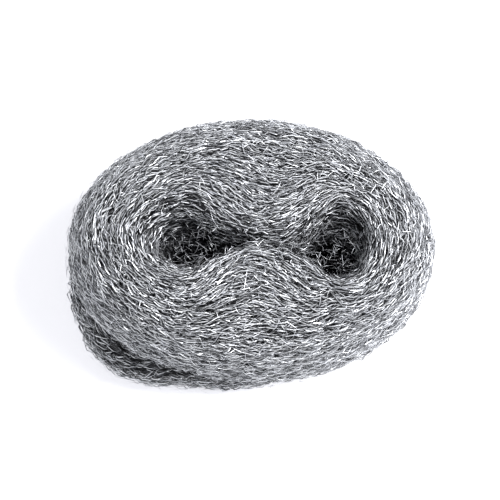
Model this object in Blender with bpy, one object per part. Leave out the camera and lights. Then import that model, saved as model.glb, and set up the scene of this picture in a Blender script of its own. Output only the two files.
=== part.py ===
"""Steel wool bundle: one long ribbon of steel wool, wound on itself into an oval roll and pinched.

The roll lies on its end. Its winding axis is +Z, its length runs along X, and its height is the ribbon's
width. Its core is a dumbbell in plan: two open eyes joined by a slit where the turns are pressed together.
The turns follow the dumbbell near the core and the oval at the outside. The ribbon's free end, the tail,
lies on the outer wall at the front left. Sizes are in metres and angles in degrees.
"""

import math

import bmesh
import bpy
import numpy as np

# Overall size of the wound oval
BUNDLE_LENGTH = 0.120
BUNDLE_DEPTH = 0.0865
RIBBON_WIDTH = 0.050

# The core in plan: each eye's middle, its half length outwards, its half widths, and its taper to the slit
LEFT_EYE_X = -0.0185
LEFT_EYE_Y = -0.0027
LEFT_EYE_HALF_LENGTH = 0.0110
LEFT_EYE_MOUTH = 0.0076
LEFT_EYE_WAIST = 0.0050
LEFT_EYE_TAPER = 0.0120
RIGHT_EYE_X = 0.0270
RIGHT_EYE_Y = -0.0034
RIGHT_EYE_HALF_LENGTH = 0.0090
RIGHT_EYE_MOUTH = 0.0110
RIGHT_EYE_WAIST = 0.0064
RIGHT_EYE_TAPER = 0.0085
SLIT_GAP = 0.0008

# The pinch: the turns in front of the slit and behind it are drawn in towards it as two waves. Each has its
# middle and half length along X, its depth, and where across the wall it is deepest and where it ends. The
# middle of the one behind moves along X by its lean from the core to the outside.
FRONT_PINCH_X = 0.0
FRONT_PINCH_REACH = 0.0235
FRONT_PINCH_DEPTH = 0.0130
FRONT_PINCH_DEEPEST_AT = 0.46
FRONT_PINCH_ENDS_AT = 0.88
BACK_PINCH_X = -0.0036
BACK_PINCH_LEAN = 0.0206
BACK_PINCH_REACH = 0.0215
BACK_PINCH_DEPTH = 0.0088
BACK_PINCH_DEEPEST_AT = 0.40
BACK_PINCH_ENDS_AT = 0.82

# The turns that show as shallow grooves on the end face
TURNS = 3
GROOVE_DEPTH = 0.0012
GROOVE_SHARPNESS = 0.45
GROOVE_STARTS_AT = 0.3
GROOVE_FULL_AT = 0.8

# The wall's section: how far its four corners are rounded across the wall, and how full their curves are
SHOULDER = 0.0190
SHOULDER_FULLNESS = 2.3
FOOT_SHOULDER = 0.0120
FOOT_FULLNESS = 2.6
EYE_LIP = 0.0060
SLIT_LIP = 0.0025
SLIT_LIP_X = 0.0090
SLIT_LIP_REACH = 0.0120
LIP_FULLNESS = 2.0
THIN_WALL_SHARE = 0.85
END_CROWN = 0.0020

# The tail, which lies on the lower part of the outer wall at the front left: a thick fold that ends early
# over a thin skirt that goes on further. Its round top falls towards its end, with a crease above it.
FOLD_THICKNESS = 0.0065
FOLD_THINS_AT = 228.0
FOLD_ENDS_AT = 258.0
SKIRT_THICKNESS = 0.0035
SKIRT_THINS_AT = 258.0
SKIRT_ENDS_AT = 284.0
TAIL_LEAVES_AT = 172.0
TAIL_FULL_AT = 226.0
TAIL_ROOT = 0.0200
TAIL_TOP_Z = 0.0220
TAIL_TOP_FALL = 0.0075
TAIL_ROUNDING = 0.0105
TAIL_CREASE_DEPTH = 0.0018
TAIL_CREASE_HALF_HEIGHT = 0.0035

# How finely the winding and its section are divided
STEPS_AROUND = 84
STEPS_SHOULDER = 10
STEPS_TOP = 12
STEPS_LIP = 7
STEPS_FOOT_LIP = 5
STEPS_FOOT = 6
STEPS_FOOT_SHOULDER = 14

WOOL_GREY = (0.30, 0.30, 0.32, 1.0)
WOOL_ROUGHNESS = 0.45
WOOL_METALLIC = 0.9


def clear_scene():
    """Removes whatever the scene holds."""
    for thing in list(bpy.data.objects):
        bpy.data.objects.remove(thing, do_unlink=True)


def steel_wool_material():
    """A dull grey metal."""
    material = bpy.data.materials.new("steel_wool")
    material.use_nodes = True
    shader = material.node_tree.nodes["Principled BSDF"]
    shader.inputs["Base Color"].default_value = WOOL_GREY
    shader.inputs["Roughness"].default_value = WOOL_ROUGHNESS
    shader.inputs["Metallic"].default_value = WOOL_METALLIC
    return material


def smooth_step(low, high, value):
    """0 below low, 1 above high, and an S-curve between them."""
    share = np.clip((value - low) / (high - low), 0.0, 1.0)
    return share * share * (3.0 - 2.0 * share)


def bell(value, middle, reach):
    """1 at the middle, falling smoothly to nothing a few reaches away."""
    return np.exp(-(((value - middle) / reach) ** 2))


def quarter(steps, fullness):
    """A quarter of a superellipse, from its end to just before its crown: shares across and up."""
    angle = np.linspace(0.0, 0.5 * math.pi, steps, endpoint=False)
    return np.cos(angle) ** (2.0 / fullness), np.sin(angle) ** (2.0 / fullness)


def section_stations():
    """The wall's section, from its outermost point over the top, down the core and back underneath.

    It is four lists: each station's share of the way from the outer corner to the core's (flat), its share
    out past the outer corner (outer), in past the core's corner (inner), and its face (1 on top, -1 below).
    """
    shoulder, shoulder_up = quarter(STEPS_SHOULDER, SHOULDER_FULLNESS)
    lip, lip_up = quarter(STEPS_LIP, LIP_FULLNESS)
    foot_lip, foot_lip_up = quarter(STEPS_FOOT_LIP, FOOT_FULLNESS)
    foot, foot_up = quarter(STEPS_FOOT_SHOULDER, FOOT_FULLNESS)
    top = np.linspace(0.0, 1.0, STEPS_TOP)
    under = np.linspace(1.0, 0.0, STEPS_FOOT)
    stations = [
        (0.0 * shoulder, shoulder, 0.0 * shoulder, shoulder_up),
        (top, 0.0 * top, 0.0 * top, 0.0 * top + 1.0),
        (0.0 * lip[:0:-1] + 1.0, 0.0 * lip[:0:-1], lip[:0:-1], lip_up[:0:-1]),
        (0.0 * foot_lip + 1.0, 0.0 * foot_lip, foot_lip, -foot_lip_up),
        (under, 0.0 * under, 0.0 * under, 0.0 * under - 1.0),
        (0.0 * foot[:0:-1], foot[:0:-1], 0.0 * foot[:0:-1], -foot_up[:0:-1]),
    ]
    return [np.concatenate(values)[:, None] for values in zip(*stations)]


def eye_width(outward, half_length, half_width, taper):
    """An eye's half width: an elliptical arc on its outer side, and a bell that tapers into the slit."""
    arc = np.sqrt(np.clip(1.0 - (outward / half_length) ** 2, 0.0, 1.0))
    share = np.where(outward > 0.0, arc, bell(outward, 0.0, taper))
    return (half_width - 0.5 * SLIT_GAP) * share


def core_outline(turn, face):
    """The core in plan, from eye to eye: widest at its mouth on top, and narrowest from its waist down."""
    open_share = smooth_step(0.0, 1.0, face)
    left_width = LEFT_EYE_WAIST + (LEFT_EYE_MOUTH - LEFT_EYE_WAIST) * open_share
    right_width = RIGHT_EYE_WAIST + (RIGHT_EYE_MOUTH - RIGHT_EYE_WAIST) * open_share
    left_end = LEFT_EYE_X - LEFT_EYE_HALF_LENGTH
    right_end = RIGHT_EYE_X + RIGHT_EYE_HALF_LENGTH
    x = 0.5 * (left_end + right_end) + 0.5 * (right_end - left_end) * np.cos(turn)
    half_width = (
        eye_width(LEFT_EYE_X - x, LEFT_EYE_HALF_LENGTH, left_width, LEFT_EYE_TAPER)
        + eye_width(x - RIGHT_EYE_X, RIGHT_EYE_HALF_LENGTH, right_width, RIGHT_EYE_TAPER)
        + 0.5 * SLIT_GAP * np.abs(np.sin(turn))
    )
    line_y = LEFT_EYE_Y + (RIGHT_EYE_Y - LEFT_EYE_Y) * (x - LEFT_EYE_X) / (RIGHT_EYE_X - LEFT_EYE_X)
    return x, line_y + half_width * np.sign(np.sin(turn))


def oval_outline(turn):
    """The outside in plan: an ellipse."""
    return 0.5 * BUNDLE_LENGTH * np.cos(turn), 0.5 * BUNDLE_DEPTH * np.sin(turn)


def section_shares(turn):
    """Each station's share across the wall (0 at the core, 1 outside) and its face, for each turn angle."""
    flat, outer, inner, face = section_stations()
    core_x, core_y = core_outline(turn, face)
    oval_x, oval_y = oval_outline(turn)
    wall = np.hypot(oval_x - core_x, oval_y - core_y)
    shoulder = np.where(face > 0.0, SHOULDER, FOOT_SHOULDER)
    lip = EYE_LIP + (SLIT_LIP - EYE_LIP) * bell(core_x, SLIT_LIP_X, SLIT_LIP_REACH)
    fit = np.minimum(1.0, THIN_WALL_SHARE * wall / (shoulder + lip))
    shoulder, lip = shoulder * fit, lip * fit
    distance = (wall - shoulder) * (1.0 - flat) + lip * flat + shoulder * outer - lip * inner
    return distance / wall, face


def wave(x, middle, reach):
    """1 at the middle, falling as a cosine to nothing at its reach on either side."""
    return 0.5 + 0.5 * np.cos(math.pi * np.clip((x - middle) / reach, -1.0, 1.0))


def pinch(turn, across, x):
    """How far the turns are drawn in towards the slit, in front of it and behind it."""
    front_share = np.interp(across, [0.0, FRONT_PINCH_DEEPEST_AT, FRONT_PINCH_ENDS_AT], [0.0, 1.0, 0.0])
    front = FRONT_PINCH_DEPTH * front_share * wave(x, FRONT_PINCH_X, FRONT_PINCH_REACH)
    back_share = np.interp(across, [0.0, BACK_PINCH_DEEPEST_AT, BACK_PINCH_ENDS_AT], [0.0, 1.0, 0.0])
    back_middle = BACK_PINCH_X + BACK_PINCH_LEAN * across
    back = BACK_PINCH_DEPTH * back_share * wave(x, back_middle, BACK_PINCH_REACH)
    return np.where(np.sin(turn) > 0.0, back, front)


def turn_in_plan(turn, across, face):
    """One turn of ribbon in plan: between the core and the oval, and drawn in at the pinch."""
    core_x, core_y = core_outline(turn, face)
    oval_x, oval_y = oval_outline(turn)
    x = core_x + (oval_x - core_x) * across
    y = core_y + (oval_y - core_y) * across
    return x, y - pinch(turn, across, x) * np.sin(turn)


def tail_shares(turn):
    """How much of the fold's and of the skirt's thickness lies on the wall at this turn."""
    degrees = np.degrees(turn) % 360.0
    swelling = smooth_step(TAIL_LEAVES_AT, TAIL_FULL_AT, degrees)
    fold = swelling * (1.0 - smooth_step(FOLD_THINS_AT, FOLD_ENDS_AT, degrees))
    skirt = swelling * (1.0 - smooth_step(SKIRT_THINS_AT, SKIRT_ENDS_AT, degrees))
    return fold, skirt


def tail_offset(turn, across, height):
    """How far the wall stands out at the tail, and how far it sinks in the crease above it."""
    fold, skirt = tail_shares(turn)
    root = 1.0 - TAIL_ROOT / (0.5 * BUNDLE_DEPTH)
    outer = smooth_step(root, 1.0, across)
    fallen = smooth_step(TAIL_LEAVES_AT, SKIRT_ENDS_AT, np.degrees(turn) % 360.0)
    top_z = TAIL_TOP_Z - TAIL_TOP_FALL * fallen
    drop = np.clip((top_z - height) / TAIL_ROUNDING, 0.0, 1.0)
    below = np.sin(0.5 * math.pi * drop)
    crease = bell(height, top_z, TAIL_CREASE_HALF_HEIGHT)
    thickness = FOLD_THICKNESS * fold + SKIRT_THICKNESS * skirt
    return outer * (thickness * below - TAIL_CREASE_DEPTH * crease * skirt)


def groove_drop(turn, across, face):
    """The spiral groove between turns on the upper end face: it moves out by one turn each time round."""
    winding = TURNS * across - turn / (2.0 * math.pi) + SKIRT_ENDS_AT / 360.0
    groove = 1.0 - np.abs(np.sin(math.pi * winding)) ** GROOVE_SHARPNESS
    return GROOVE_DEPTH * groove * smooth_step(GROOVE_STARTS_AT, GROOVE_FULL_AT, face)


def wound_points():
    """The roll's surface as a grid: one closed loop round the winding for each station of the section."""
    turn = np.linspace(0.0, 2.0 * math.pi, STEPS_AROUND, endpoint=False)[None, :]
    across, face = section_shares(turn)
    x, y = turn_in_plan(turn, across, face)
    crown = END_CROWN * (2.0 * across - 1.0) ** 2 * np.maximum(face, 0.0)
    height = 0.5 * RIBBON_WIDTH * (1.0 + face) - crown
    offset = tail_offset(turn, across, height)
    out_x = np.cos(turn) / BUNDLE_LENGTH
    out_y = np.sin(turn) / BUNDLE_DEPTH
    out_length = np.hypot(out_x, out_y)
    x = x + offset * out_x / out_length
    y = y + offset * out_y / out_length
    z = height - groove_drop(turn, across, face)
    points = np.stack(np.broadcast_arrays(x, y, z), axis=-1)
    footprint = 0.5 * (points[..., :2].min(axis=(0, 1)) + points[..., :2].max(axis=(0, 1)))
    points[..., :2] -= footprint
    return points


def wool_roll():
    """The whole roll as one closed solid, its origin under the middle of its footprint."""
    shape = bmesh.new()
    loops = [[shape.verts.new(point) for point in loop] for loop in wound_points()]
    for station, loop in enumerate(loops):
        above = loops[(station + 1) % len(loops)]
        for step in range(STEPS_AROUND):
            after = (step + 1) % STEPS_AROUND
            shape.faces.new((loop[step], loop[after], above[after], above[step]))
    bmesh.ops.recalc_face_normals(shape, faces=shape.faces)
    mesh = bpy.data.meshes.new("wool_roll")
    shape.to_mesh(mesh)
    shape.free()
    mesh.shade_smooth()
    roll = bpy.data.objects.new("wool_roll", mesh)
    roll.data.materials.append(steel_wool_material())
    bpy.context.scene.collection.objects.link(roll)
    return roll


clear_scene()
wool_roll()
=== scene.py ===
# %% [markdown]
# # A bundle of steel wool
#
# Steel wool is a tangle of long, fine steel strands, shaved off a wire and gathered into a ribbon. Here
# one ribbon is wound on itself into an oval roll, which lies on its end. The camera looks down on the end
# face, so the strands are seen from the side, running round the roll.
#
# The roll is made in two kinds of piece. A closed body gives the depth of the wool, painted nearly black
# as shade, too dark and too dense to see through. Thousands of real strands, each a thin bent prism, lie
# over it and cross each other.

# %% Load the frame
import math

import bpy
import numpy as np
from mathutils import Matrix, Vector


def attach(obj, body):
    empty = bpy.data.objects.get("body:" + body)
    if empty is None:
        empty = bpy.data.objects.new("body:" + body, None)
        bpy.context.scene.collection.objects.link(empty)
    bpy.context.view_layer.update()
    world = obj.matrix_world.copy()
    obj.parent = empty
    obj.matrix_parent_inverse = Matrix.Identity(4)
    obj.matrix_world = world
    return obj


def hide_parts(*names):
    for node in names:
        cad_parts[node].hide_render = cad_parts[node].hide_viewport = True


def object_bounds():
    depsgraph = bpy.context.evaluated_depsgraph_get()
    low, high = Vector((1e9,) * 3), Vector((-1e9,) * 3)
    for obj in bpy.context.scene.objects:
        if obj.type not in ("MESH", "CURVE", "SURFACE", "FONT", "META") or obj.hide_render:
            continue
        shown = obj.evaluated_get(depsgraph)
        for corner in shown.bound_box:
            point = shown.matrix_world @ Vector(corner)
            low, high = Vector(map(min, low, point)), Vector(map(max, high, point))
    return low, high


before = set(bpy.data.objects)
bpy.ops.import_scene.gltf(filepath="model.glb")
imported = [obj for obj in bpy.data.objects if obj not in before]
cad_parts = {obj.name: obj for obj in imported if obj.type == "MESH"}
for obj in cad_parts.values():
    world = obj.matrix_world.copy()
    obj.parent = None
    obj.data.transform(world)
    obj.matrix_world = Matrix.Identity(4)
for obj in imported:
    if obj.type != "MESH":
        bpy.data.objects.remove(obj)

CAD_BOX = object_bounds()
chance = np.random.default_rng(20817)

# %% [markdown]
# ## The shape of the roll
#
# The strands have to follow the roll, so they need its shape as a formula and not only as a mesh. The
# sizes are those that the CAD part is drawn from, in metres and degrees. A place on the roll has two
# numbers: the turn, an angle that goes once round the winding, and the station, which goes once round the
# ribbon's section, from the outermost line over the top, down the core and back underneath.

# %% Sizes of the roll
BUNDLE_LENGTH = 0.120
BUNDLE_DEPTH = 0.0865
RIBBON_WIDTH = 0.050
SLIT_GAP = 0.0008
LEFT_EYE = {
    "x": -0.0185, "y": -0.0027, "half_length": 0.0110,
    "mouth": 0.0076, "waist": 0.0050, "taper": 0.0120,
}
RIGHT_EYE = {
    "x": 0.0270, "y": -0.0034, "half_length": 0.0090,
    "mouth": 0.0110, "waist": 0.0064, "taper": 0.0085,
}
print("oval", BUNDLE_LENGTH, "x", BUNDLE_DEPTH, "m, ribbon", RIBBON_WIDTH, "m wide")


# %% Two curves that shape most things
def smooth_step(low, high, value):
    """0 below low, 1 above high, and an S-curve between them."""
    share = np.clip((value - low) / (high - low), 0.0, 1.0)
    return share * share * (3.0 - 2.0 * share)


def bell(value, middle, reach):
    """1 at the middle, falling smoothly to nothing a few reaches away."""
    return np.exp(-(((value - middle) / reach) ** 2))


print("a bell one reach out", round(float(bell(1.0, 0.0, 1.0)), 3))

# %% [markdown]
# ## The plan
#
# Seen from above, the roll lies between two lines. The outer one is an ellipse. The inner one is the
# core: two open eyes, joined by a slit where the turns on either side press together. Two circles and a
# bridge could be joined for it, but a line whose half width swells at each eye is one formula, and it has
# no joints to hide.


# %% Core and outside in plan
def eye_width(outward, eye, half_width):
    """An eye's half width: an elliptical arc on its outer side, and a bell that tapers into the slit."""
    arc = np.sqrt(np.clip(1.0 - (outward / eye["half_length"]) ** 2, 0.0, 1.0))
    share = np.where(outward > 0.0, arc, bell(outward, 0.0, eye["taper"]))
    return (half_width - 0.5 * SLIT_GAP) * share


def eye_line(x):
    """The height in plan, at any x, of the line from eye to eye."""
    slope = (RIGHT_EYE["y"] - LEFT_EYE["y"]) / (RIGHT_EYE["x"] - LEFT_EYE["x"])
    return LEFT_EYE["y"] + slope * (x - LEFT_EYE["x"])


def core_outline(turn, face):
    """The core in plan: a line from eye to eye, opened by each eye, and wider at its mouth."""
    open_share = smooth_step(0.0, 1.0, face)
    left_width = LEFT_EYE["waist"] + (LEFT_EYE["mouth"] - LEFT_EYE["waist"]) * open_share
    right_width = RIGHT_EYE["waist"] + (RIGHT_EYE["mouth"] - RIGHT_EYE["waist"]) * open_share
    left_end = LEFT_EYE["x"] - LEFT_EYE["half_length"]
    right_end = RIGHT_EYE["x"] + RIGHT_EYE["half_length"]
    x = 0.5 * (left_end + right_end) + 0.5 * (right_end - left_end) * np.cos(turn)
    half_width = eye_width(LEFT_EYE["x"] - x, LEFT_EYE, left_width)
    half_width = half_width + eye_width(x - RIGHT_EYE["x"], RIGHT_EYE, right_width)
    half_width = half_width + 0.5 * SLIT_GAP * np.abs(np.sin(turn))
    return x, eye_line(x) + half_width * np.sign(np.sin(turn))


def oval_outline(turn):
    """The outside in plan: an ellipse."""
    return 0.5 * BUNDLE_LENGTH * np.cos(turn), 0.5 * BUNDLE_DEPTH * np.sin(turn)


print("core ends at x", [round(float(core_outline(turn, 1.0)[0]), 4) for turn in (math.pi, 0.0)])

# %% [markdown]
# ## The section
#
# The ribbon's edges spring apart where nothing presses on them, so the roll is rounded at its shoulder,
# at the lips of the eyes and, less, at its foot. A bevel gives one radius everywhere. A quarter of a
# superellipse can be full or slack, and each corner gets its own. Where the wall is thin they all shrink,
# so that they never meet.

# %% Section of the ribbon
SHOULDER, SHOULDER_FULLNESS = 0.0190, 2.3
FOOT_SHOULDER, FOOT_FULLNESS = 0.0120, 2.6
EYE_LIP, SLIT_LIP, LIP_FULLNESS = 0.0060, 0.0025, 2.0
SLIT_LIP_X, SLIT_LIP_REACH = 0.0090, 0.0120
THIN_WALL_SHARE = 0.85


def quarter(steps, fullness):
    """A quarter of a superellipse, from its end to just before its crown: shares across and up."""
    angle = np.linspace(0.0, 0.5 * math.pi, steps, endpoint=False)
    return np.cos(angle) ** (2.0 / fullness), np.sin(angle) ** (2.0 / fullness)


def section_stations(shoulder_steps, top_steps, lip_steps, foot_lip_steps, foot_steps, foot_shoulder_steps):
    """The section as columns: flat run across, outer corner, inner corner, face (1 top, -1 foot)."""
    shoulder, shoulder_up = quarter(shoulder_steps, SHOULDER_FULLNESS)
    lip, lip_up = quarter(lip_steps, LIP_FULLNESS)
    foot_lip, foot_lip_up = quarter(foot_lip_steps, FOOT_FULLNESS)
    foot, foot_up = quarter(foot_shoulder_steps, FOOT_FULLNESS)
    top = np.linspace(0.0, 1.0, top_steps)
    under = np.linspace(1.0, 0.0, foot_steps)
    stations = [
        (0.0 * shoulder, shoulder, 0.0 * shoulder, shoulder_up),
        (top, 0.0 * top, 0.0 * top, 0.0 * top + 1.0),
        (0.0 * lip[:0:-1] + 1.0, 0.0 * lip[:0:-1], lip[:0:-1], lip_up[:0:-1]),
        (0.0 * foot_lip + 1.0, 0.0 * foot_lip, foot_lip, -foot_lip_up),
        (under, 0.0 * under, 0.0 * under, 0.0 * under - 1.0),
        (0.0 * foot[:0:-1], foot[:0:-1], 0.0 * foot[:0:-1], -foot_up[:0:-1]),
    ]
    return [np.concatenate(values)[:, None] for values in zip(*stations)]


def section_shares(turn, stations):
    """Each station's share across the wall (0 at the core, 1 outside) at each turn."""
    flat, outer, inner, face = stations
    core_x, core_y = core_outline(turn, face)
    oval_x, oval_y = oval_outline(turn)
    wall = np.hypot(oval_x - core_x, oval_y - core_y)
    shoulder = np.where(face > 0.0, SHOULDER, FOOT_SHOULDER)
    lip = EYE_LIP + (SLIT_LIP - EYE_LIP) * bell(core_x, SLIT_LIP_X, SLIT_LIP_REACH)
    fit = np.minimum(1.0, THIN_WALL_SHARE * wall / (shoulder + lip))
    shoulder, lip = shoulder * fit, lip * fit
    distance = (wall - shoulder) * (1.0 - flat) + lip * flat + shoulder * outer - lip * inner
    return distance / wall


STATIONS = section_stations(
    shoulder_steps=64, top_steps=64, lip_steps=30, foot_lip_steps=14, foot_steps=18, foot_shoulder_steps=22)
print("section of", len(STATIONS[0]), "stations")

# %% [markdown]
# ## The pinch, the tail and the grooves
#
# Three things break the plain oval. The roll was pinched in its middle, and the turns there are drawn in
# towards the slit. The ribbon's free end, the tail, hangs round the foot at the front left as a thick
# fold that thins into a skirt, with a crease above it. And each turn leaves a shallow groove beside the
# next, in one long spiral. They could be sculpted, but as offsets in the formula each can be changed by
# itself, and the strands follow.

# %% Pinch, tail and grooves
FRONT_PINCH = {"x": 0.0, "lean": 0.0, "reach": 0.0235, "depth": 0.0130, "deepest": 0.46, "ends": 0.88}
BACK_PINCH = {"x": -0.0036, "lean": 0.0206, "reach": 0.0215, "depth": 0.0088, "deepest": 0.40, "ends": 0.82}
TAIL = {"leaves": 172.0, "full": 226.0, "root": 0.0200, "top": 0.0220, "fall": 0.0075, "rounding": 0.0105}
FOLD = {"thick": 0.0065, "thins": 228.0, "ends": 258.0}
SKIRT = {"thick": 0.0035, "thins": 258.0, "ends": 284.0}
CREASE_DEPTH, CREASE_HALF_HEIGHT = 0.0018, 0.0035
TURNS = 3
GROOVE_DEPTH = 0.0012
GROOVE_SHARPNESS = 0.45
GROOVE_FACES = (0.3, 0.8)


def pinch_wave(pinch, across, x):
    """How far a pinch draws the turns in: a cosine wave along X, deepest part way across the wall."""
    share = np.interp(across, [0.0, pinch["deepest"], pinch["ends"]], [0.0, 1.0, 0.0])
    along = np.clip((x - pinch["x"] - pinch["lean"] * across) / pinch["reach"], -1.0, 1.0)
    return pinch["depth"] * share * (0.5 + 0.5 * np.cos(math.pi * along))


def tail_shares(turn):
    """How much of the tail's thick fold and of its thin skirt lies on the wall at this turn."""
    degrees = np.degrees(turn) % 360.0
    swelling = smooth_step(TAIL["leaves"], TAIL["full"], degrees)
    fold = swelling * (1.0 - smooth_step(FOLD["thins"], FOLD["ends"], degrees))
    skirt = swelling * (1.0 - smooth_step(SKIRT["thins"], SKIRT["ends"], degrees))
    return fold, skirt


def crease_height(turn):
    """The height of the crease over the tail, which falls towards the tail's end."""
    fall = TAIL["fall"] * smooth_step(TAIL["leaves"], SKIRT["ends"], np.degrees(turn) % 360.0)
    return TAIL["top"] - fall


def tail_offset(turn, across, height):
    """How far the wall stands out at the tail, and how far it sinks in the crease above it."""
    fold, skirt = tail_shares(turn)
    outer = smooth_step(1.0 - TAIL["root"] / (0.5 * BUNDLE_DEPTH), 1.0, across)
    top_z = crease_height(turn)
    drop = np.clip((top_z - height) / TAIL["rounding"], 0.0, 1.0)
    below = np.sin(0.5 * math.pi * drop)
    thickness = FOLD["thick"] * fold + SKIRT["thick"] * skirt
    return outer * (thickness * below - CREASE_DEPTH * bell(height, top_z, CREASE_HALF_HEIGHT) * skirt)


def groove_share(turn, across):
    """The spiral groove between turns, 1 at its bottom: it moves out by one turn each time round."""
    winding = TURNS * across - turn / (2.0 * math.pi) + SKIRT["ends"] / 360.0
    return 1.0 - np.abs(np.sin(math.pi * winding)) ** GROOVE_SHARPNESS


print("tail at its thickest", round(float(tail_offset(math.radians(TAIL["full"]), 1.0, 0.0)), 4), "m")

# %% [markdown]
# ## The roll as a grid
#
# The formulas are worked out once, for every station (down) and every turn (across), as whole arrays. The
# grid closes on itself both ways, like a ring doughnut, so it has no edge and no pole. Everything after
# this reads it.

# %% The roll as a grid of points
TURN_STEPS = 320
END_CROWN = 0.0020


def roll_grid(turns, stations):
    """The roll's surface: a point for each station and turn, and its share across the wall."""
    turn = np.linspace(0.0, 2.0 * math.pi, turns, endpoint=False)[None, :]
    across = section_shares(turn, stations)
    face = stations[3]
    core_x, core_y = core_outline(turn, face)
    oval_x, oval_y = oval_outline(turn)
    x = core_x + (oval_x - core_x) * across
    y = core_y + (oval_y - core_y) * across
    back, front = pinch_wave(BACK_PINCH, across, x), pinch_wave(FRONT_PINCH, across, x)
    y = y - np.where(np.sin(turn) > 0.0, back, front) * np.sin(turn)
    crown = END_CROWN * (2.0 * across - 1.0) ** 2 * np.maximum(face, 0.0)
    height = 0.5 * RIBBON_WIDTH * (1.0 + face) - crown
    offset = tail_offset(turn, across, height)
    out_x, out_y = np.cos(turn) / BUNDLE_LENGTH, np.sin(turn) / BUNDLE_DEPTH
    out_length = np.hypot(out_x, out_y)
    z = height - GROOVE_DEPTH * groove_share(turn, across) * smooth_step(*GROOVE_FACES, face)
    x = x + offset * out_x / out_length
    y = y + offset * out_y / out_length
    return np.stack(np.broadcast_arrays(x, y, z), axis=-1), np.broadcast_to(across, x.shape)


def unit(vectors):
    """Vectors at length 1: each divided by its length."""
    return vectors / np.maximum(np.linalg.norm(vectors, axis=-1, keepdims=True), 1e-12)


def grid_normals(points):
    """Outward normals of a grid that closes both ways: the cross product of its two directions."""
    along = np.roll(points, -1, axis=1) - np.roll(points, 1, axis=1)
    around = np.roll(points, -1, axis=0) - np.roll(points, 1, axis=0)
    return unit(np.cross(along, around))


roll, roll_across = roll_grid(TURN_STEPS, STATIONS)
STATION_STEPS = roll.shape[0]
roll[..., 0] += 0.5 * (CAD_BOX[0][0] + CAD_BOX[1][0]) - 0.5 * (roll[..., 0].min() + roll[..., 0].max())
roll[..., 1] += 0.5 * (CAD_BOX[0][1] + CAD_BOX[1][1]) - 0.5 * (roll[..., 1].min() + roll[..., 1].max())
roll_normal = grid_normals(roll)
roll_face = np.broadcast_to(STATIONS[3], roll.shape[:2])
print("roll grid", roll.shape, roll.reshape(-1, 3).min(0), roll.reshape(-1, 3).max(0))

# %% [markdown]
# ## Uneven packing
#
# Wool isn't packed evenly: strands gather in wisps that run along the winding, with darker furrows
# between them. A noise could be painted in the material alone, but then the strands wouldn't know of it.
# So it is worked out here once on the roll's own grid, drawn out along the winding, and both the body and
# the strands read it.

# %% Noise that closes round the roll
WISP_NOISES = [(0.5, 26, 44, 1), (0.3, 41, 89, 2), (0.2, 13, 20, 3)]


def lattice_noise(along, around, seed):
    """Smooth noise on the roll's grid: random heights at along x around places, blended with S-curves."""
    heights = np.random.default_rng(seed).random((around, along))
    down = np.arange(STATION_STEPS) / STATION_STEPS * around
    right = np.arange(TURN_STEPS) / TURN_STEPS * along
    row, column = down.astype(int), right.astype(int)
    row_share = smooth_step(0.0, 1.0, down - row)[:, None]
    column_share = smooth_step(0.0, 1.0, right - column)[None, :]
    row, column = row[:, None], column[None, :]
    next_row, next_column = (row + 1) % around, (column + 1) % along
    near = heights[row, column] * (1.0 - column_share) + heights[row, next_column] * column_share
    far = heights[next_row, column] * (1.0 - column_share) + heights[next_row, next_column] * column_share
    return near * (1.0 - row_share) + far * row_share


wisps = sum(weight * lattice_noise(along, around, seed) for weight, along, around, seed in WISP_NOISES)
wisps = (wisps - wisps.mean()) / wisps.std()
print("wisps from", round(float(wisps.min()), 2), "to", round(float(wisps.max()), 2))

# %% [markdown]
# ## Loose wool
#
# The outermost strands are held by nothing, so the roll's rim is a haze, most of all at the rounder eye's
# end. A see-through shell would blur it evenly. Instead a second grid says how loose each place is: there
# the body sinks deeper, and the strands spread out.

# %% Looseness
OUTER_WALL = (0.50, 1.00)
OUTER_WALL_FROM = 0.55
LOOSE_SIDE = (-0.035, 0.045)
LOOSE_SIDE_SKEW = 0.25
LEAST_LOOSE, MORE_LOOSE = 0.45, 0.35


def looseness(points, normal):
    """0 off the outer wall, and on it rising from one side of the roll to the rounder eye's end."""
    outward = np.hypot(normal[..., 0], normal[..., 1])
    side = smooth_step(*LOOSE_SIDE, points[..., 0] + LOOSE_SIDE_SKEW * points[..., 1])
    outer_wall = smooth_step(*OUTER_WALL, outward) * (roll_across > OUTER_WALL_FROM)
    return outer_wall * (LEAST_LOOSE + MORE_LOOSE * side)


loose = looseness(roll, roll_normal)
print("loose share of the surface", round(float(loose.mean()), 3))

# %% [markdown]
# ## Light that is left
#
# Real wool holds many more strands than can be built, and they shade each other in the eyes, on the lips,
# in the crease and in the grooves. That shade is worked out here as the share of light that is left, and it
# is painted shade: not one dim veil, but it decides how many strands at a place are painted dark, and the
# rest stay bright steel. Down the core walls the shade is painted deeper towards the foot, and the core's
# right end is painted lighter, as lit.

# %% Shares of the light
CORE_SIDE = 0.999
LEAST_CORE_LIGHT = 0.04
CORE_DARK_FACE, CORE_LIT_FACE = -0.3, 1.05
RIGHT_WALL_LIGHT, RIGHT_WALL_SHARPNESS = 1.2, 8
CREASE_SHADE, CREASE_FROM = 0.50, 0.5
LIP_SHADE, LIP_REACH = 0.42, 0.12
FUNNEL_SHADE, FUNNEL_REACH = 0.10, 0.18
GROOVE_SHADE = 0.30

turn_row = np.linspace(0.0, 2.0 * math.pi, TURN_STEPS, endpoint=False)[None, :]
# Painted shade down the core walls, darker towards the foot, and painted light at the core's right end.
right_wall = np.maximum(np.cos(turn_row), 0.0) ** RIGHT_WALL_SHARPNESS
core_light = smooth_step(CORE_DARK_FACE - RIGHT_WALL_LIGHT * right_wall, CORE_LIT_FACE, roll_face)
core_light = LEAST_CORE_LIGHT + (1.0 - LEAST_CORE_LIGHT) * core_light
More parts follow.
